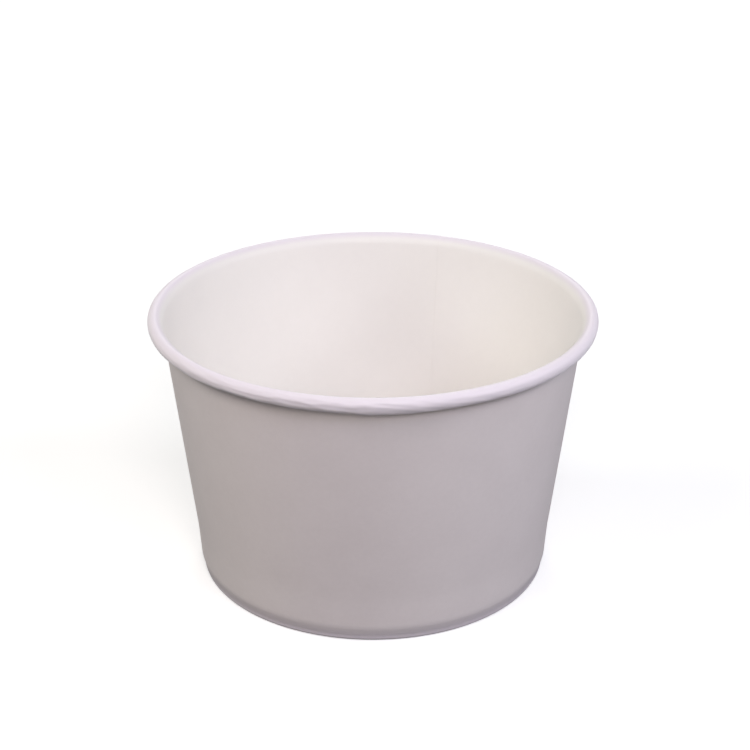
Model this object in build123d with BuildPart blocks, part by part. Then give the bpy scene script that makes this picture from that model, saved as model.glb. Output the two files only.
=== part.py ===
from build123d import *
from math import cos, degrees, radians, sqrt, tan
import os

# Paper cup for ice cream, in millimetres and degrees.
# It stands on its foot at z = 0 with its axis on Z. The side seam is at the back, towards +Y.

# The cup as a whole
rim_diameter = 95.0
cup_height = 59.0
wall_lean = 6.85

# The two boards, and the film of sealant between them
wall_board = 0.35
disc_board = 0.35
seal_gap = 0.02

# Rolled rim: the wall flares gently, rolls over the top, runs down the outside and rolls back under,
# with its edge tucked up beside the flare
flare_radius = 2.80
flare_turn = 60
flare_bends = 2
curl_radius = 1.35
curl_side = 0.40
curl_gap = 0.10
curl_tuck = 0.20
curl_bends = 4
under_bends = 4

# Bottom disc: its height above the table, the depth of its skirt and the bend between them
recess_depth = 8.2
skirt_depth = 5.4
disc_bend_radius = 0.80
disc_bends = 2

# Foot: the wall stands steeper where it grips the disc, and its fold is tucked in below the skirt
hem_lean = 4.3
swell_rise = 1.40
hem_gap = 1.00
tuck_depth = 0.56
tuck_height = 0.50
fold_bends = 4

# Side seam: where the inner edge lies, how far the outer edge laps over it, and the step up onto it
seam_angle = 70
lap_width = 7.0
jog_width = 1.2

# Levels worked out from the sizes above
disc_top = recess_depth + disc_board
skirt_edge = disc_top - skirt_depth
swell_top = disc_top + swell_rise
hem_top = recess_depth - hem_gap
hem_space = disc_board + seal_gap + seal_gap

# Centres of the rolled rim's bends in the section, where X is the radius and Y the height
rim_radius = rim_diameter / 2
curl_start = 180 - flare_turn
curl_centre = Vector(rim_radius - curl_radius, cup_height - curl_radius)
flare_centre = curl_centre - Vector(flare_radius - curl_radius, 0).rotate(Axis.Z, curl_start)
under_height = curl_centre.Y - curl_side

# The tucked edge clears the outside of the flare
tuck_top = under_height + curl_tuck
flare_back = flare_centre.X - sqrt((flare_radius - wall_board) ** 2 - (tuck_top - flare_centre.Y) ** 2)
under_radius = (rim_radius - flare_back - curl_gap) / 2
under_centre = Vector(rim_radius - under_radius, under_height)

# Turns about the axis
mouth_radius = flare_centre.X - flare_radius
lap_angle = degrees(lap_width / mouth_radius)
jog_angle = degrees(jog_width / mouth_radius)


def bend_corners(centre, radius, start, turn, bends):
    # A round bend as a chain of short straight runs, each of which touches its circle
    step = turn / bends
    reach = Vector(radius / cos(radians(step / 2)), 0)
    return [centre + reach.rotate(Axis.Z, start + step * (bend + 0.5)) for bend in range(bends)]


flare = bend_corners(flare_centre, flare_radius, 180, -flare_turn, flare_bends)
over_bend = bend_corners(curl_centre, curl_radius, curl_start, -curl_start, curl_bends)
under_bend = bend_corners(under_centre, under_radius, 0, -180, under_bends)
swell_radius = flare[0].X - (flare[0].Y - swell_top) * tan(radians(wall_lean))


def grip_radius(height):
    # Radius of the wall's food side where it grips the disc
    return swell_radius - (swell_top - height) * tan(radians(hem_lean))


def wall_corners():
    # The blank's food side, from the hem's edge round the foot, up the wall and round the rim
    shoulder = grip_radius(skirt_edge)
    fold = shoulder - tuck_depth
    fold_radius = hem_space / 2
    fold_height = wall_board + fold_radius
    return [
        Vector(grip_radius(hem_top) - hem_space, hem_top),
        Vector(shoulder - hem_space, skirt_edge),
        Vector(fold - hem_space, fold_height + tuck_height),
        *bend_corners(Vector(fold - fold_radius, fold_height), fold_radius, 180, 180, fold_bends),
        Vector(fold, fold_height + tuck_height),
        Vector(shoulder, skirt_edge),
        Vector(swell_radius, swell_top),
        *flare,
        *over_bend,
        *under_bend,
        Vector(rim_radius - under_radius * 2, tuck_top),
    ]


def disc_corners():
    # The disc's food side, from its middle out to its edge and down its skirt
    skirt_drop = disc_bend_radius * (1 - tan(radians(45 / disc_bends)))
    edge = grip_radius(disc_top - skirt_drop) - seal_gap
    bend_centre = Vector(edge - disc_bend_radius, disc_top - disc_bend_radius)
    return [
        Vector(0, disc_top),
        *bend_corners(bend_centre, disc_bend_radius, 90, -90, disc_bends),
        Vector(grip_radius(skirt_edge) - seal_gap, skirt_edge),
    ]


def board_line(corners, depth):
    # The line that runs through the board at one depth below its food side, mitred at each bend
    runs = [(end - start).normalized() for start, end in zip(corners, corners[1:])]
    rights = [Vector(run.Y, -run.X) for run in runs]
    moved = [
        corner + (before + after) * (depth / (1 + before.dot(after)))
        for corner, before, after in zip(corners, rights[:1] + rights, rights + rights[-1:])
    ]
    return Polyline(moved)


def draw_board(corners, depth, thickness):
    # The cut section of one thickness of board, with square edges
    with BuildLine() as outline:
        near = board_line(corners, depth)
        far = board_line(corners, depth + thickness)
        Line(near @ 0, far @ 0)
        Line(near @ 1, far @ 1)
    make_face(outline.edges())


def section_plane(angle):
    # The upright half plane from the axis out, turned about Z from +X
    return Plane.XZ.rotated((0, 0, angle))


# The wrapped wall: one ply all round, a second one over it at the lap, and the step up between them
with BuildPart() as sidewall:
    with BuildSketch(section_plane(seam_angle)):
        draw_board(wall_corners(), 0, wall_board)
    revolve(axis=Axis.Z, revolution_arc=360 - jog_angle)
    with BuildSketch(section_plane(seam_angle)):
        draw_board(wall_corners(), 0, wall_board)
        draw_board(wall_corners(), wall_board, wall_board)
    revolve(axis=Axis.Z, revolution_arc=lap_angle)
    with BuildSketch(section_plane(seam_angle - jog_angle)):
        draw_board(wall_corners(), 0, wall_board)
    with BuildSketch(section_plane(seam_angle)):
        draw_board(wall_corners(), wall_board, wall_board)
    loft(ruled=True)
    # The lap is pressed level under the foot
    split(bisect_by=Plane.XY, keep=Keep.TOP)

sidewall.part.label = "sidewall"


# The bottom: a flat disc with its edge turned down into a skirt
with BuildPart() as bottom_disc:
    with BuildSketch(section_plane(seam_angle)):
        draw_board(disc_corners(), 0, disc_board)
    revolve(axis=Axis.Z)

bottom_disc.part.label = "bottom_disc"


os.makedirs("parts", exist_ok=True)
export_step(sidewall.part, "parts/sidewall.step")
export_step(bottom_disc.part, "parts/bottom_disc.step")

print("rim bead height", round(curl_radius + curl_side + under_radius, 3))
print("mouth radius", round(mouth_radius, 3))
print("foot ring radius", round(grip_radius(skirt_edge) - tuck_depth - hem_space / 2, 3))
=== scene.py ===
from math import cos, pi, radians, sin, sqrt, tan

import bpy
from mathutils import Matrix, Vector


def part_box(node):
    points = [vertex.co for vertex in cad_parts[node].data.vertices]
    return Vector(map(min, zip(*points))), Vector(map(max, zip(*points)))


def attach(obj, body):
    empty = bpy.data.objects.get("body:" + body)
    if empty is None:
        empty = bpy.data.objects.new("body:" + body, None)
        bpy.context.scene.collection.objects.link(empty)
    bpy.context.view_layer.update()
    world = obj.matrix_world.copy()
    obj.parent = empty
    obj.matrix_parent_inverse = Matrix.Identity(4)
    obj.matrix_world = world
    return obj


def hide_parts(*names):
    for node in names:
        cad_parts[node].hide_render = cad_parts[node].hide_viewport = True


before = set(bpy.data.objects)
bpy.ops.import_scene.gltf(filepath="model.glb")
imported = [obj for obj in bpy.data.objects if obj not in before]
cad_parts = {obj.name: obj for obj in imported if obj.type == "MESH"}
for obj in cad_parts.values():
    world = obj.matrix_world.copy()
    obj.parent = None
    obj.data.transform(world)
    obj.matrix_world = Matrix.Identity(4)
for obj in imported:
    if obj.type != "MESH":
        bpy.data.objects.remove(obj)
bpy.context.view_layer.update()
print("the packed cup is loaded")

# A paper cup for ice cream: a wall wrapped from one blank of board, and a bottom disc pressed up into it.
# It stands on its foot with its axis on Z. The side seam is at the back, towards +Y.
mm = 0.001
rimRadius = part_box("sidewall")[1].x
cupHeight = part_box("sidewall")[1].z
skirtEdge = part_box("bottom_disc")[0].z
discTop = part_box("bottom_disc")[1].z


# Small helpers for the node trees
def addNode(tree, kind, inputs=(), **settings):
    node = tree.nodes.new(kind)
    for name, value in settings.items():
        setattr(node, name, value)
    for name, value in dict(inputs).items():
        if isinstance(value, bpy.types.NodeSocket):
            tree.links.new(value, node.inputs[name])
        else:
            node.inputs[name].default_value = value
    return node


def calc(tree, operation, *values):
    return addNode(tree, "ShaderNodeMath", dict(enumerate(values)), operation=operation).outputs[0]


def vectorCalc(tree, operation, *values):
    # a length is a number, which the second output holds
    node = addNode(tree, "ShaderNodeVectorMath", dict(enumerate(values)), operation=operation)
    return node.outputs[1 if operation == "LENGTH" else 0]


def ramp(tree, value, fromMin, fromMax, toMin=0.0, toMax=1.0, shape="LINEAR"):
    inputs = {"Value": value, "From Min": fromMin, "From Max": fromMax, "To Min": toMin, "To Max": toMax}
    return addNode(tree, "ShaderNodeMapRange", inputs, interpolation_type=shape).outputs["Result"]


def noise(tree, place, scale, detail, roughness):
    inputs = {"Vector": place, "Scale": scale, "Detail": detail, "Roughness": roughness}
    return addNode(tree, "ShaderNodeTexNoise", inputs).outputs[0]


def mixColours(tree, share, first, second, blend="MIX"):
    inputs = {"Factor": share, "A": first, "B": second}
    node = addNode(tree, "ShaderNodeMix", data_type="RGBA", blend_type=blend)
    for socket in node.inputs:
        if socket.enabled and socket.name in inputs:
            value = inputs[socket.name]
            if isinstance(value, bpy.types.NodeSocket):
                tree.links.new(value, socket)
            else:
                socket.default_value = value
    return next(socket for socket in node.outputs if socket.enabled)


def splitVector(tree, vector):
    return addNode(tree, "ShaderNodeSeparateXYZ", {0: vector}).outputs


def joinVector(tree, x=0.0, y=0.0, z=0.0):
    return addNode(tree, "ShaderNodeCombineXYZ", {0: x, 1: y, 2: z}).outputs[0]


def turnedPlace(tree, radius, turn, height=0.0):
    x = calc(tree, "MULTIPLY", radius, calc(tree, "COSINE", turn))
    y = calc(tree, "MULTIPLY", radius, calc(tree, "SINE", turn))
    return joinVector(tree, x, y, height)


def openTree(name, kind, inputs, outputs):
    tree = bpy.data.node_groups.new(name, kind)
    for label, socketType in inputs.items():
        tree.interface.new_socket(label, in_out="INPUT", socket_type="NodeSocket" + socketType)
    for label, socketType in outputs.items():
        tree.interface.new_socket(label, in_out="OUTPUT", socket_type="NodeSocket" + socketType)
    return tree, addNode(tree, "NodeGroupInput").outputs


# What every finish of the board shares
paperLook = {
    "fibre": (3.0, 0.60),  # detail and roughness of each noise
    "mottle": (4.0, 0.65),
    "cloud": (2.0, 0.50),
    "cloudScale": 0.12,  # of the mottle's scale, for the broad clouds in it
    "noiseSpan": (0.3, 0.7),  # the levels between which most of a noise lies
    "relief": 0.05 * mm,
    "creaseAngle": 50,  # degrees between two faces, past which their edge looks crisp
}


# Fibre and mottle of paper board, shared by every board finish
def makePaperGrain():
    tree, given = openTree(
        "paperGrain",
        "ShaderNodeTree",
        {"Fibre Size": "Float", "Mottle Size": "Float"},
        {"Fibre": "Float", "Mottle": "Float", "Cloud": "Float"},
    )
    place = addNode(tree, "ShaderNodeTexCoord").outputs["Object"]
    fibreScale = calc(tree, "DIVIDE", 1.0, given["Fibre Size"])
    mottleScale = calc(tree, "DIVIDE", 1.0, given["Mottle Size"])
    cloudScale = calc(tree, "DIVIDE", paperLook["cloudScale"], given["Mottle Size"])
    fibre = noise(tree, place, fibreScale, *paperLook["fibre"])
    mottle = noise(tree, place, mottleScale, *paperLook["mottle"])
    cloud = noise(tree, place, cloudScale, *paperLook["cloud"])
    outputs = {
        "Fibre": fibre,
        "Mottle": ramp(tree, mottle, *paperLook["noiseSpan"]),
        "Cloud": ramp(tree, cloud, *paperLook["noiseSpan"]),
    }
    addNode(tree, "NodeGroupOutput", outputs)
    return tree


paperGrain = makePaperGrain()

# Colours are linear. The board is coated on the food side only, which is also the side that shows on the rim.
boardFinishes = {
    "foodSide": {
        "light": (0.878, 0.848, 0.821),
        "dark": (0.858, 0.828, 0.801),
        "rimTint": (0.965, 0.925, 1.015),  # painted shade and painted cool light: the coat is drawn darker and cooler over the rim than inside the cup
        "roughness": (0.42, 0.52),
        "gloss": 0.22,
        "bump": 0.10,
        "fibreSize": 0.9 * mm,
        "mottleSize": 1.6 * mm,
    },
    "outerSide": {
        "light": (0.800, 0.740, 0.738),
        "dark": (0.760, 0.700, 0.698),
        "footTint": (0.830, 0.825, 0.885),  # painted shade: the bare board is drawn darker where the foot is tucked in
        "roughness": (0.75, 0.88),
        "gloss": 0.12,
        "bump": 0.22,
        "fibreSize": 0.35 * mm,
        "mottleSize": 1.1 * mm,
    },
    "cutEdge": {
        "light": (0.850, 0.810, 0.790),
        "dark": (0.760, 0.715, 0.690),
        "roughness": (0.85, 0.95),
        "gloss": 0.10,
        "bump": 0.40,
        "fibreSize": 0.16 * mm,
        "mottleSize": 0.5 * mm,
    },
}


def makeBoardFinish(name):
    finish = boardFinishes[name]
    material = bpy.data.materials.new(name)
    material.use_nodes = True
    tree = material.node_tree
    tree.nodes.clear()
    grain = addNode(
        tree,
        "ShaderNodeGroup",
        {"Fibre Size": finish["fibreSize"], "Mottle Size": finish["mottleSize"]},
        node_tree=paperGrain,
    ).outputs
    blotch = calc(tree, "MULTIPLY", calc(tree, "ADD", grain["Mottle"], grain["Cloud"]), 0.5)
    colour = mixColours(tree, blotch, (*finish["dark"], 1.0), (*finish["light"], 1.0))
    # painted shade: the rim and the foot are drawn darker by the shares kept on the board
    for part in ("rim", "foot"):
        if part + "Tint" in finish:
            share = addNode(tree, "ShaderNodeAttribute", attribute_name=part).outputs["Fac"]
            colour = mixColours(tree, share, colour, (*finish[part + "Tint"], 1.0), "MULTIPLY")
    relief = addNode(
        tree,
        "ShaderNodeBump",
        {"Height": grain["Fibre"], "Strength": finish["bump"], "Distance": paperLook["relief"]},
    ).outputs[0]
    shader = addNode(
        tree,
        "ShaderNodeBsdfPrincipled",
        {
            "Base Color": colour,
            "Roughness": ramp(tree, grain["Mottle"], 0.0, 1.0, *finish["roughness"]),
            "Specular IOR Level": finish["gloss"],
            "Normal": relief,
        },
    )
    addNode(tree, "ShaderNodeOutputMaterial", {"Surface": shader.outputs[0]})
    return material


finishes = {name: makeBoardFinish(name) for name in boardFinishes}
print("the board's finishes are made")


# A section line is drawn in radius and height, along the food side of the board
def runPoints(start, end, steps):
    return [start + (end - start) * (step / steps) for step in range(steps)]


def arcPoints(centre, radius, start, turn, steps):
    angles = [radians(start + turn * step / steps) for step in range(steps)]
    return [centre + Vector((cos(angle), sin(angle))) * radius for angle in angles]


def sectionCurve(name, points):
    # a helper that is read by a tree and then deleted
    curve = bpy.data.curves.new(name, "CURVE")
    curve.dimensions = "3D"
    spline = curve.splines.new("POLY")
    spline.points.add(len(points) - 1)
    for spot, point in zip(spline.points, points):
        spot.co = (point.x, 0.0, point.y, 1.0)
    helper = bpy.data.objects.new(name, curve)
    bpy.context.scene.collection.objects.link(helper)
    return helper


# The wall: its rim is rolled outwards and its foot is folded in over the bottom's skirt
wallSizes = {
    "board": 0.35 * mm,
    "lean": 6.85,  # degrees off upright
    "flareRadius": 2.80 * mm,  # the wall's bend outwards into the rim
    "flareTurn": 60,
    "curlRadius": 1.35 * mm,  # the rim's bend over the top
    "curlSide": 0.15 * mm,  # straight stretch down its outer side
    "underRadius": 1.80 * mm,  # the wider bend back under
    "underTurn": 75,
    "curlGap": 0.10 * mm,  # from its tucked edge to the flare
    "tuckTop": cupHeight - 1.55 * mm,
    "swellTop": discTop + 1.40 * mm,
    "hemTop": discTop - 1.35 * mm,
    "hemSpace": 0.39 * mm,  # room for the skirt between the wall and its hem
    "hemLean": 4.3,
    "tuckDepth": 0.56 * mm,
    "tuckHeight": 0.50 * mm,
    "footTintSpan": (0.9 * mm, skirtEdge + 0.6 * mm),  # heights of the foot's full painted shade and of its end
    "rimTintShare": 1.15,  # of the rim's run, where its painted shade has faded out in the flare
    "seamAngle": 70,  # where the inner edge lies, turned from +X towards +Y
    "lapWidth": 7.0 * mm,
    "jogWidth": 1.2 * mm,
    "sealGap": 0.01 * mm,
    "edgeShare": 0.15,  # of the board's thickness left where the inner edge is pressed thin
    "taperWidth": 4.0 * mm,
    "columns": 330,
    "seamColumns": 18,
    "wrinkleDepth": 0.17 * mm,
    "wrinkleLength": 3.6 * mm,
    "wrinkleHeight": 0.8 * mm,
    "wrinkleTilt": 5,  # degrees off the run of the rim
    "wrinkleAngle": 252,  # the middle of the wrinkled stretch of the rim
    "wrinkleSpread": 75,
    "wrinkleRest": 0.25,  # share of them that is left on the rest of the rim
    "wrinkleSpan": (0.35, 0.70),  # noise levels where a wrinkle starts and where it is deepest
    "wrinkleRise": 0.675 * mm,  # how far above the bend back under they are still in full
    "waveDrops": (-0.108 * mm, 0.012 * mm),  # how far lower the rim's underside is rolled, least and most
    "waveLength": 14.0 * mm,
    "sagDepth": 0.34 * mm,  # how far it hangs lower at one place
    "sagAngle": 274,
    "sagSpread": 20,
    "lowShare": 0.6,  # of the bend back under, from its edge, that drops in full
    # rows of faces in each stretch of the section, from the hem's edge to the rim's
    "rows": {
        "hem": 4,
        "hemTuck": 3,
        "hemFoot": 1,
        "fold": 8,
        "foot": 2,
        "tuck": 5,
        "grip": 8,
        "wall": 18,
        "flare": 10,
        "curl": 16,
        "side": 1,
        "under": 12,
        "tucked": 10,
    },
}
# The rim's bends: their centres, in radius and height, and the tighter one that ends in the tucked edge
curlStart = 180 - wallSizes["flareTurn"]
curlCentre = Vector((rimRadius, cupHeight)) - Vector((1, 1)) * wallSizes["curlRadius"]
flareWay = Vector((cos(radians(curlStart)), sin(radians(curlStart))))
flareCentre = curlCentre - flareWay * (wallSizes["flareRadius"] - wallSizes["curlRadius"])
underCentre = Vector((rimRadius - wallSizes["underRadius"], curlCentre.y - wallSizes["curlSide"]))
flareBack = flareCentre.x - sqrt(
    (wallSizes["flareRadius"] - wallSizes["board"]) ** 2 - (wallSizes["tuckTop"] - flareCentre.y) ** 2
)
tuckLine = flareBack + wallSizes["curlGap"]
underTurn = radians(wallSizes["underTurn"])
tuckRadius = (underCentre.x + wallSizes["underRadius"] * cos(underTurn) - tuckLine) / (1 + cos(underTurn))
tuckWay = Vector((cos(underTurn), -sin(underTurn)))
tuckCentre = underCentre + tuckWay * (wallSizes["underRadius"] - tuckRadius)
mouthRadius = flareCentre.x - wallSizes["flareRadius"]
underLength = wallSizes["underRadius"] * underTurn + tuckRadius * (pi - underTurn)
underLength += wallSizes["tuckTop"] - tuckCentre.y
curlLength = wallSizes["curlRadius"] * radians(curlStart) + wallSizes["curlSide"] + underLength


def wallRadius(height):
    # the straight wall's food side, which touches the flare
    lean = radians(wallSizes["lean"])
    touch = flareCentre + Vector((-cos(lean), sin(lean))) * wallSizes["flareRadius"]
    return touch.x - (touch.y - height) * tan(lean)


def gripRadius(height):
    # the wall's food side where it grips the bottom's skirt
    fall = wallSizes["swellTop"] - height
    return wallRadius(wallSizes["swellTop"]) - fall * tan(radians(wallSizes["hemLean"]))


def wallLine():
    rows = wallSizes["rows"]
    space = Vector((wallSizes["hemSpace"], 0))
    foldRadius = wallSizes["hemSpace"] / 2
    foldHeight = wallSizes["board"] + foldRadius
    hemTop = Vector((gripRadius(wallSizes["hemTop"]), wallSizes["hemTop"]))
    shoulder = Vector((gripRadius(skirtEdge), skirtEdge))
    tuck = Vector((shoulder.x - wallSizes["tuckDepth"], foldHeight + wallSizes["tuckHeight"]))
    swell = Vector((gripRadius(wallSizes["swellTop"]), wallSizes["swellTop"]))
    flareFoot = flareCentre.y + wallSizes["flareRadius"] * sin(radians(wallSizes["lean"]))
    flareStart = 180 - wallSizes["lean"]
    turned = wallSizes["underTurn"]
    points = runPoints(hemTop - space, shoulder - space, rows["hem"])
    points += runPoints(shoulder - space, tuck - space, rows["hemTuck"])
    points += runPoints(tuck - space, Vector((tuck.x - wallSizes["hemSpace"], foldHeight)), rows["hemFoot"])
    points += arcPoints(Vector((tuck.x - foldRadius, foldHeight)), foldRadius, 180, 180, rows["fold"])
    points += runPoints(Vector((tuck.x, foldHeight)), tuck, rows["foot"])
    points += runPoints(tuck, shoulder, rows["tuck"])
    points += runPoints(shoulder, swell, rows["grip"])
    points += runPoints(swell, Vector((wallRadius(flareFoot), flareFoot)), rows["wall"])
    points += arcPoints(
        flareCentre, wallSizes["flareRadius"], flareStart, curlStart - flareStart, rows["flare"]
    )
    points += arcPoints(curlCentre, wallSizes["curlRadius"], curlStart, -curlStart, rows["curl"])
    points += runPoints(
        Vector((rimRadius, curlCentre.y)), Vector((rimRadius, underCentre.y)), rows["side"]
    )
    points += arcPoints(underCentre, wallSizes["underRadius"], 0, -turned, rows["under"])
    points += arcPoints(tuckCentre, tuckRadius, -turned, turned - 180, rows["tucked"])
    return points + [Vector((tuckLine, tuckCentre.y)), Vector((tuckLine, wallSizes["tuckTop"]))]


# What the wrapping tree takes beside the board. A run is measured back along the section from the rim's edge.
wrapSizes = {
    "Seam Angle": radians(wallSizes["seamAngle"]),
    "Lap Angle": wallSizes["lapWidth"] / mouthRadius,
    "Jog Angle": wallSizes["jogWidth"] / mouthRadius,
    "Taper Angle": wallSizes["taperWidth"] / mouthRadius,
    "Seal Gap": wallSizes["sealGap"],
    "Edge Share": wallSizes["edgeShare"],
    "Press Bottom": wallSizes["board"] + wallSizes["hemSpace"],
    "Press Top": skirtEdge,
    "Rim Radius": rimRadius,
    "Under Run": underLength,
    "Bead Run": curlLength,
    "Low Run": underLength * wallSizes["lowShare"],
    "Least Drop": wallSizes["waveDrops"][0],
    "Most Drop": wallSizes["waveDrops"][1],
    "Wave Length": wallSizes["waveLength"],
    "Sag Depth": wallSizes["sagDepth"],
    "Sag Angle": radians(wallSizes["sagAngle"]),
    "Sag Spread": radians(wallSizes["sagSpread"]),
    "Wrinkle Run": underLength + wallSizes["wrinkleRise"],
    "Wrinkle Depth": wallSizes["wrinkleDepth"],
    "Wrinkle Length": wallSizes["wrinkleLength"],
    "Wrinkle Height": wallSizes["wrinkleHeight"],
    "Wrinkle Tilt": radians(wallSizes["wrinkleTilt"]),
    "Wrinkle Angle": radians(wallSizes["wrinkleAngle"]),
    "Wrinkle Spread": radians(wallSizes["wrinkleSpread"]),
    "Wrinkle Rest": wallSizes["wrinkleRest"],
    "Wrinkle Start": wallSizes["wrinkleSpan"][0],
    "Wrinkle Full": wallSizes["wrinkleSpan"][1],
    "Tint Run": curlLength * wallSizes["rimTintShare"],
    "Tint Bottom": wallSizes["footTintSpan"][0],
    "Tint Top": wallSizes["footTintSpan"][1],
}
boardSockets = {
    "Section": "Object",
    "Board": "Float",
    "Columns": "Int",
    "Food Side": "Material",
    "Outer Side": "Material",
    "Cut Edge": "Material",
}


def startBoard(tree, given, cells):
    # a unit block with a cell for each column and row: its top is the outer side, its bottom the food side
    section = addNode(tree, "GeometryNodeObjectInfo", {"Object": given["Section"]}).outputs["Geometry"]
    count = addNode(tree, "GeometryNodeAttributeDomainSize", {"Geometry": section}, component="CURVE")
    rows = count.outputs["Point Count"]
    block = addNode(
        tree,
        "GeometryNodeMeshCube",
        {"Vertices X": calc(tree, "ADD", cells, 1.0), "Vertices Y": rows, "Vertices Z": 2},
    )
    capture = addNode(tree, "GeometryNodeCaptureAttribute", domain="FACE")
    capture.capture_items.new("VECTOR", "Facing")
    tree.links.new(block.outputs["Mesh"], capture.inputs["Geometry"])
    tree.links.new(addNode(tree, "GeometryNodeInputNormal").outputs[0], capture.inputs["Facing"])
    place = addNode(tree, "GeometryNodeInputPosition").outputs[0]
    share = splitVector(tree, vectorCalc(tree, "ADD", place, (0.5, 0.5, 0.5)))
    row = calc(tree, "ROUND", calc(tree, "MULTIPLY", share["Y"], calc(tree, "SUBTRACT", rows, 1.0)))
    column = calc(tree, "MULTIPLY", share["X"], cells)
    return section, capture, row, column, share["Z"]


def sampleSection(tree, section, row, field):
    kind = "FLOAT_VECTOR" if field.type == "VECTOR" else "FLOAT"
    inputs = {"Geometry": section, "Value": field, "Index": row}
    return addNode(tree, "GeometryNodeSampleIndex", inputs, data_type=kind).outputs[0]


def linePoint(tree, section, row):
    # the section's own place at a row: X is the radius and Z the height
    place = addNode(tree, "GeometryNodeInputPosition").outputs[0]
    return splitVector(tree, sampleSection(tree, section, row, place))


def sectionPlace(tree, section, row, depth, rise, turn):
    # a spot of the section, moved to the right of its line by depth and turned about the axis
    line = linePoint(tree, section, row)
    tangent = addNode(tree, "GeometryNodeInputTangent").outputs[0]
    way = splitVector(tree, sampleSection(tree, section, row, tangent))
    radius = calc(tree, "MULTIPLY_ADD", way["Z"], depth, line["X"])
    lifted = calc(tree, "ADD", line["Z"], rise)
    height = calc(tree, "SUBTRACT", lifted, calc(tree, "MULTIPLY", way["X"], depth))
    return turnedPlace(tree, radius, turn, height)


def finishBoard(tree, geometry, facing, given):
    # crisp cut edges, then the three finishes by the side of the board
    bend = addNode(tree, "GeometryNodeInputMeshEdgeAngle").outputs[0]
    smooth = addNode(
        tree,
        "GeometryNodeSetShadeSmooth",
        {"Geometry": geometry, "Shade Smooth": True},
        domain="FACE",
    )
    creased = addNode(
        tree,
        "GeometryNodeSetShadeSmooth",
        {
            "Geometry": smooth.outputs[0],
            "Selection": calc(tree, "GREATER_THAN", bend, radians(paperLook["creaseAngle"])),
            "Shade Smooth": False,
        },
        domain="EDGE",
    )
    board = addNode(tree, "GeometryNodeRealizeInstances", {"Geometry": creased.outputs[0]}).outputs[0]
    side = splitVector(tree, facing)["Z"]
    shown = {
        "Cut Edge": True,
        "Outer Side": calc(tree, "GREATER_THAN", side, 0.5),
        "Food Side": calc(tree, "LESS_THAN", side, -0.5),
    }
    for finish, selection in shown.items():
        inputs = {"Geometry": board, "Selection": selection, "Material": given[finish]}
        board = addNode(tree, "GeometryNodeSetMaterial", inputs).outputs[0]
    addNode(tree, "NodeGroupOutput", {"Geometry": board})


def turnAlong(tree, given, column, cells, seam):
    # fine columns at both ends of the blank, where it laps, and wider ones between
    between = calc(tree, "SUBTRACT", 2 * pi, calc(tree, "ADD", seam, given["Jog Angle"]))
    mainEnd = calc(tree, "ADD", given["Seam Columns"], given["Columns"])
    first = ramp(tree, column, 0.0, given["Seam Columns"], 0.0, seam)
    middle = ramp(tree, column, given["Seam Columns"], mainEnd, 0.0, between)
    last = ramp(tree, column, mainEnd, cells, 0.0, seam)
    return calc(tree, "ADD", first, calc(tree, "ADD", middle, last))


def thinnedShare(tree, given, away):
    # how much of the board's thickness is left at a turn away from its inner edge
    return ramp(tree, away, 0.0, given["Taper Angle"], given["Edge Share"], 1.0, "SMOOTHSTEP")


def rimDrop(tree, given, turn, toEdge):
    # the rim's underside is a little uneven, and hangs lower at one place
    ring = calc(tree, "DIVIDE", given["Rim Radius"], given["Wave Length"])
    uneven = noise(tree, turnedPlace(tree, ring, turn), scale=1.0, detail=2.0, roughness=0.6)
    wave = ramp(tree, uneven, *paperLook["noiseSpan"], given["Least Drop"], given["Most Drop"])
    offSag = calc(tree, "ABSOLUTE", calc(tree, "SUBTRACT", turn, given["Sag Angle"]))
    sag = ramp(tree, offSag, given["Sag Spread"], 0.0, 0.0, given["Sag Depth"], "SMOOTHSTEP")
    below = ramp(tree, toEdge, given["Under Run"], given["Low Run"], shape="SMOOTHSTEP")
    return calc(tree, "MULTIPLY", calc(tree, "ADD", sag, wave), below)


def rimWrinkles(tree, given, along, turn, toEdge):
    # long shallow wrinkles on the rim's outer side, deepest round one place
    reach = calc(tree, "MULTIPLY", along, given["Rim Radius"])
    tilted = addNode(
        tree,
        "ShaderNodeVectorRotate",
        {"Vector": joinVector(tree, reach, toEdge), "Angle": given["Wrinkle Tilt"]},
        rotation_type="Z_AXIS",
    ).outputs[0]
    sides = splitVector(tree, tilted)
    pattern = joinVector(
        tree,
        calc(tree, "DIVIDE", sides["X"], given["Wrinkle Length"]),
        calc(tree, "DIVIDE", sides["Y"], given["Wrinkle Height"]),
    )
    level = noise(tree, pattern, scale=1.0, detail=2.0, roughness=0.5)
    dent = ramp(tree, level, given["Wrinkle Start"], given["Wrinkle Full"])
    bead = ramp(tree, toEdge, given["Bead Run"], given["Wrinkle Run"], shape="SMOOTHSTEP")
    aside = calc(tree, "ABSOLUTE", calc(tree, "SUBTRACT", turn, given["Wrinkle Angle"]))
    where = ramp(tree, aside, given["Wrinkle Spread"], 0.0, given["Wrinkle Rest"], 1.0, "SMOOTHSTEP")
    dented = calc(tree, "MULTIPLY", dent, calc(tree, "MULTIPLY", bead, where))
    return calc(tree, "MULTIPLY", dented, given["Wrinkle Depth"])


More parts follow.
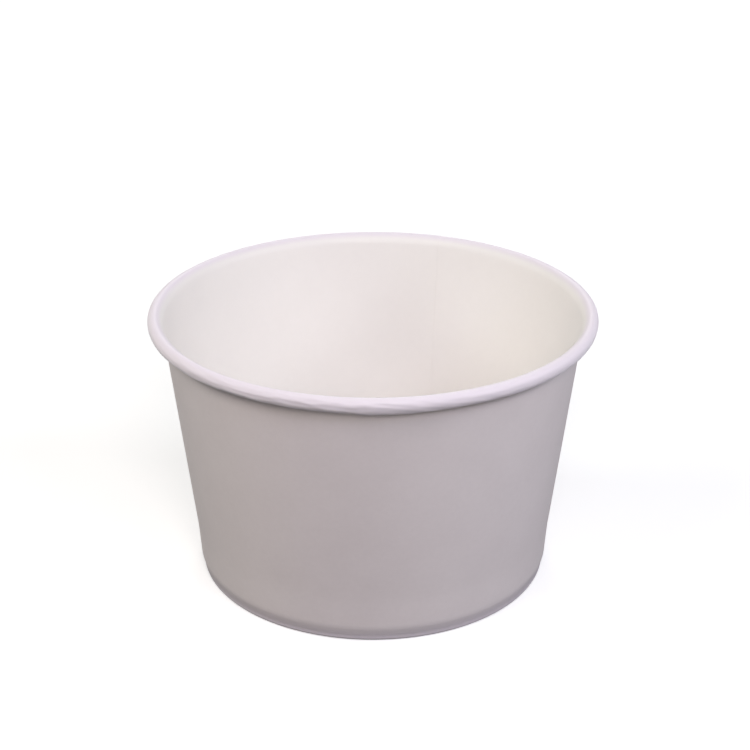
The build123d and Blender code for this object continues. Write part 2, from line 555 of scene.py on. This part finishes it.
def makeWrapTree():
    inputs = {**boardSockets, "Seam Columns": "Int", **{size: "Float" for size in wrapSizes}}
    tree, given = openTree("wrapBoard", "GeometryNodeTree", inputs, {"Geometry": "Geometry"})
    ends = calc(tree, "MULTIPLY", given["Seam Columns"], 2.0)
    cells = calc(tree, "ADD", given["Columns"], ends)
    section, capture, row, column, across = startBoard(tree, given, cells)
    seam = calc(tree, "ADD", given["Lap Angle"], given["Jog Angle"])
    along = turnAlong(tree, given, column, cells, seam)
    turn = calc(tree, "ADD", along, given["Seam Angle"])
    lineHeight = linePoint(tree, section, row)["Z"]
    run = sampleSection(tree, section, row, addNode(tree, "GeometryNodeSplineParameter").outputs["Length"])
    lineLength = addNode(tree, "GeometryNodeCurveLength", {"Curve": section}).outputs[0]
    toEdge = calc(tree, "SUBTRACT", lineLength, run)

    # the outer end steps up onto the inner one, and both are pressed level at the foot
    jogStart = calc(tree, "SUBTRACT", 2 * pi, given["Jog Angle"])
    stepUp = ramp(tree, along, jogStart, 2 * pi, shape="SMOOTHSTEP")
    lapEnd = ramp(tree, along, given["Lap Angle"], seam, 1.0, 0.0, "SMOOTHSTEP")
    lapped = calc(tree, "MAXIMUM", lapEnd, stepUp)
    lastTurn = calc(tree, "MULTIPLY", calc(tree, "GREATER_THAN", along, pi), 2 * pi)
    fromEdge = calc(tree, "SUBTRACT", along, lastTurn)
    ply = calc(tree, "MULTIPLY_ADD", thinnedShare(tree, given, fromEdge), given["Board"], given["Seal Gap"])
    pressed = ramp(tree, lineHeight, given["Press Bottom"], given["Press Top"], 1.0, 0.0, "SMOOTHSTEP")
    lifted = calc(tree, "MULTIPLY", calc(tree, "MULTIPLY", lapped, pressed), ply)
    rise = calc(tree, "SUBTRACT", lifted, rimDrop(tree, given, turn, toEdge))
    layer = calc(tree, "MULTIPLY", across, thinnedShare(tree, given, along))
    wrinkles = rimWrinkles(tree, given, along, turn, toEdge)
    inner = calc(tree, "MULTIPLY_ADD", layer, given["Board"], wrinkles)
    depth = calc(tree, "ADD", calc(tree, "MULTIPLY", stepUp, ply), inner)

    # shares of painted shade for the rim and the foot, which are kept before the block is bent
    rim = ramp(tree, toEdge, given["Tint Run"], given["Bead Run"])
    foot = ramp(tree, lineHeight, given["Tint Bottom"], given["Tint Top"], 1.0, 0.0)
    marked = capture.outputs["Geometry"]
    for part, share in {"rim": rim, "foot": foot}.items():
        inputs = {"Geometry": marked, "Name": part, "Value": share}
        marked = addNode(tree, "GeometryNodeStoreNamedAttribute", inputs).outputs[0]
    placed = addNode(
        tree,
        "GeometryNodeSetPosition",
        {"Geometry": marked, "Position": sectionPlace(tree, section, row, depth, rise, turn)},
    )
    finishBoard(tree, placed.outputs[0], capture.outputs["Facing"], given)
    return tree


def makeSpinTree():
    tree, given = openTree("spinBoard", "GeometryNodeTree", boardSockets, {"Geometry": "Geometry"})
    section, capture, row, column, across = startBoard(tree, given, given["Columns"])
    turn = calc(tree, "MULTIPLY", calc(tree, "DIVIDE", column, given["Columns"]), 2 * pi)
    depth = calc(tree, "MULTIPLY", across, given["Board"])

    # the block's two ends and its side at the axis close on themselves
    side = splitVector(tree, capture.outputs["Facing"])
    closing = calc(
        tree,
        "MAXIMUM",
        calc(tree, "GREATER_THAN", calc(tree, "ABSOLUTE", side["X"]), 0.5),
        calc(tree, "LESS_THAN", side["Y"], -0.5),
    )
    opened = addNode(
        tree,
        "GeometryNodeDeleteGeometry",
        {"Geometry": capture.outputs["Geometry"], "Selection": closing},
        domain="FACE",
    )
    placed = addNode(
        tree,
        "GeometryNodeSetPosition",
        {"Geometry": opened.outputs[0], "Position": sectionPlace(tree, section, row, depth, 0.0, turn)},
    )
    merged = addNode(
        tree,
        "GeometryNodeMergeByDistance",
        {"Geometry": placed.outputs[0], "Distance": 0.001 * mm},
    )
    finishBoard(tree, merged.outputs[0], capture.outputs["Facing"], given)
    return tree


def growPiece(name, tree, values):
    # runs the tree with its values and keeps the result as a plain mesh
    piece = bpy.data.objects.new(name, bpy.data.meshes.new(name))
    bpy.context.scene.collection.objects.link(piece)
    modifier = piece.modifiers.new(tree.name, "NODES")
    modifier.node_group = tree
    for socket in tree.interface.items_tree:
        if socket.in_out == "INPUT":
            modifier[socket.identifier] = values[socket.name]
    graph = bpy.context.evaluated_depsgraph_get()
    mesh = bpy.data.meshes.new_from_object(
        piece.evaluated_get(graph), preserve_all_data_layers=True, depsgraph=graph
    )
    mesh.materials.pop(index=0)  # the block's own empty slot
    piece.modifiers.clear()
    piece.data = mesh
    mesh.name = name
    bpy.data.objects.remove(values["Section"])
    print(name, "has", len(mesh.polygons), "faces")
    return piece


boardMaterials = {
    "Food Side": finishes["foodSide"],
    "Outer Side": finishes["outerSide"],
    "Cut Edge": finishes["cutEdge"],
}

wrappedWall = growPiece(
    "wrappedWall",
    makeWrapTree(),
    {
        **boardMaterials,
        **wrapSizes,
        "Section": sectionCurve("wallSection", wallLine()),
        "Board": wallSizes["board"],
        "Columns": wallSizes["columns"],
        "Seam Columns": wallSizes["seamColumns"],
    },
)
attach(wrappedWall, "root")
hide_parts("sidewall")

# The bottom: a flat disc with its edge turned down into the fold of the wall
discSizes = {
    "board": 0.35 * mm,
    "bendRadius": 0.80 * mm,
    "sealGap": 0.02 * mm,
    "columns": 240,
    "rows": {"flat": 16, "bend": 10, "skirt": 5},
}


def discLine():
    rows = discSizes["rows"]
    bend = discSizes["bendRadius"]
    edge = gripRadius(discTop - bend) - discSizes["sealGap"]
    skirtEnd = Vector((gripRadius(skirtEdge) - discSizes["sealGap"], skirtEdge))
    skirtStart = Vector((edge, discTop - bend))
    points = runPoints(Vector((0, discTop)), Vector((edge - bend, discTop)), rows["flat"])
    points += arcPoints(Vector((edge - bend, discTop - bend)), bend, 90, -90, rows["bend"])
    return points + runPoints(skirtStart, skirtEnd, rows["skirt"]) + [skirtEnd]


bottomDisc = growPiece(
    "bottomDisc",
    makeSpinTree(),
    {
        **boardMaterials,
        "Section": sectionCurve("discSection", discLine()),
        "Board": discSizes["board"],
        "Columns": discSizes["columns"],
    },
)
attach(bottomDisc, "root")
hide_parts("bottom_disc")
print("the wall and the bottom are made")

# Pale floor, soft light and the photograph's camera
studio = {
    "floorSize": 6.0,
    "floorColour": (0.80, 0.80, 0.80, 1.0),  # as it is seen, itself or in a gloss
    "floorBounce": (0.15, 0.15, 0.15, 1.0),  # as it lights the cup from below
    "floorLift": (0.40, 1.0),  # glow that is added where it is seen, near the cup and far from it
    "liftSpan": (0.10, 0.93),
    "skyLight": 0.16,
    "lampSize": 0.20,
    "lampDistance": 0.55,
    # each lamp's azimuth from the camera's side of the cup, its elevation, its power and its tint
    "lamps": {
        "leftLamp": (-95, 27, 0.83, (0.97, 1.0, 0.91)),
        "leftFrontLamp": (-50, 42, 0.59, (1.0, 0.91, 0.94)),
        "frontLamp": (6, 31, 1.08, (1.0, 0.92, 0.86)),
        "highFrontLamp": (6, 52, 0.22, (0.92, 0.95, 1.0)),
        "rightFrontLamp": (38, 34, 0.50, (0.54, 0.63, 1.0)),
        "rightLamp": (81, 31, 0.95, (0.97, 0.97, 1.0)),
        "backLamp": (180, 30, 0.50, (1.0, 1.0, 1.0)),
    },
    # the camera's elevation in degrees, its distance from the point it looks at, and that point's place
    "elevation": 24.36,
    "distance": 0.3726,
    "aimHeight": 0.0429,
    "sideStep": 0.43 * mm,
    "lens": 83.06,
}


def seenRays(tree):
    # rays that show the background itself, straight, in a gloss or through glass
    path = addNode(tree, "ShaderNodeLightPath").outputs
    gloss = calc(tree, "MAXIMUM", path["Is Glossy Ray"], path["Is Transmission Ray"])
    return calc(tree, "MAXIMUM", path["Is Camera Ray"], gloss)


def makeFloor():
    half = studio["floorSize"] / 2
    corners = [(-half, -half, 0), (half, -half, 0), (half, half, 0), (-half, half, 0)]
    mesh = bpy.data.meshes.new("floor")
    mesh.from_pydata(corners, [], [(0, 1, 2, 3)])
    floor = bpy.data.objects.new("floor", mesh)
    bpy.context.scene.collection.objects.link(floor)
    material = bpy.data.materials.new("paleFloor")
    material.use_nodes = True
    tree = material.node_tree
    tree.nodes.clear()
    seen = seenRays(tree)
    colour = mixColours(tree, seen, studio["floorBounce"], studio["floorColour"])
    surface = addNode(tree, "ShaderNodeBsdfDiffuse", {"Color": colour})
    place = addNode(tree, "ShaderNodeTexCoord").outputs["Object"]
    far = ramp(tree, vectorCalc(tree, "LENGTH", place), *studio["liftSpan"], *studio["floorLift"])
    lift = addNode(tree, "ShaderNodeEmission", {"Strength": calc(tree, "MULTIPLY", seen, far)})
    both = addNode(tree, "ShaderNodeAddShader", {0: surface.outputs[0], 1: lift.outputs[0]})
    addNode(tree, "ShaderNodeOutputMaterial", {"Surface": both.outputs[0]})
    mesh.materials.append(material)


def addLamp(name, azimuth, elevation, power, tint):
    lamp = bpy.data.lights.new(name, "AREA")
    lamp.shape = "DISK"
    lamp.size = studio["lampSize"]
    lamp.energy = power
    lamp.color = tint
    light = bpy.data.objects.new(name, lamp)
    side, up = radians(azimuth), radians(elevation)
    away = Vector((sin(side) * cos(up), -cos(side) * cos(up), sin(up)))
    light.location = Vector((0, 0, cupHeight)) + away * studio["lampDistance"]
    light.rotation_euler = (-away).to_track_quat("-Z", "Y").to_euler()
    bpy.context.scene.collection.objects.link(light)


def lightSky():
    world = bpy.data.worlds.new("softSky")
    world.use_nodes = True
    tree = world.node_tree
    tree.nodes.clear()
    strength = ramp(tree, seenRays(tree), 0.0, 1.0, studio["skyLight"], 1.0)
    sky = addNode(tree, "ShaderNodeBackground", {"Color": (1.0, 1.0, 1.0, 1.0), "Strength": strength})
    addNode(tree, "ShaderNodeOutputWorld", {"Surface": sky.outputs[0]})
    bpy.context.scene.world = world


def placeCamera():
    lens = bpy.data.cameras.new("photoCamera")
    lens.lens = studio["lens"]
    camera = bpy.data.objects.new("photoCamera", lens)
    tilt = radians(studio["elevation"])
    aim = Vector((studio["sideStep"], 0, studio["aimHeight"]))
    camera.location = aim + Vector((0, -cos(tilt), sin(tilt))) * studio["distance"]
    camera.rotation_euler = (pi / 2 - tilt, 0, 0)
    bpy.context.scene.collection.objects.link(camera)
    bpy.context.scene.camera = camera


makeFloor()
for name, lampValues in studio["lamps"].items():
    addLamp(name, *lampValues)
lightSky()
placeCamera()
bpy.context.scene.view_settings.view_transform = "Standard"
print("the floor, the lights and the camera stand")
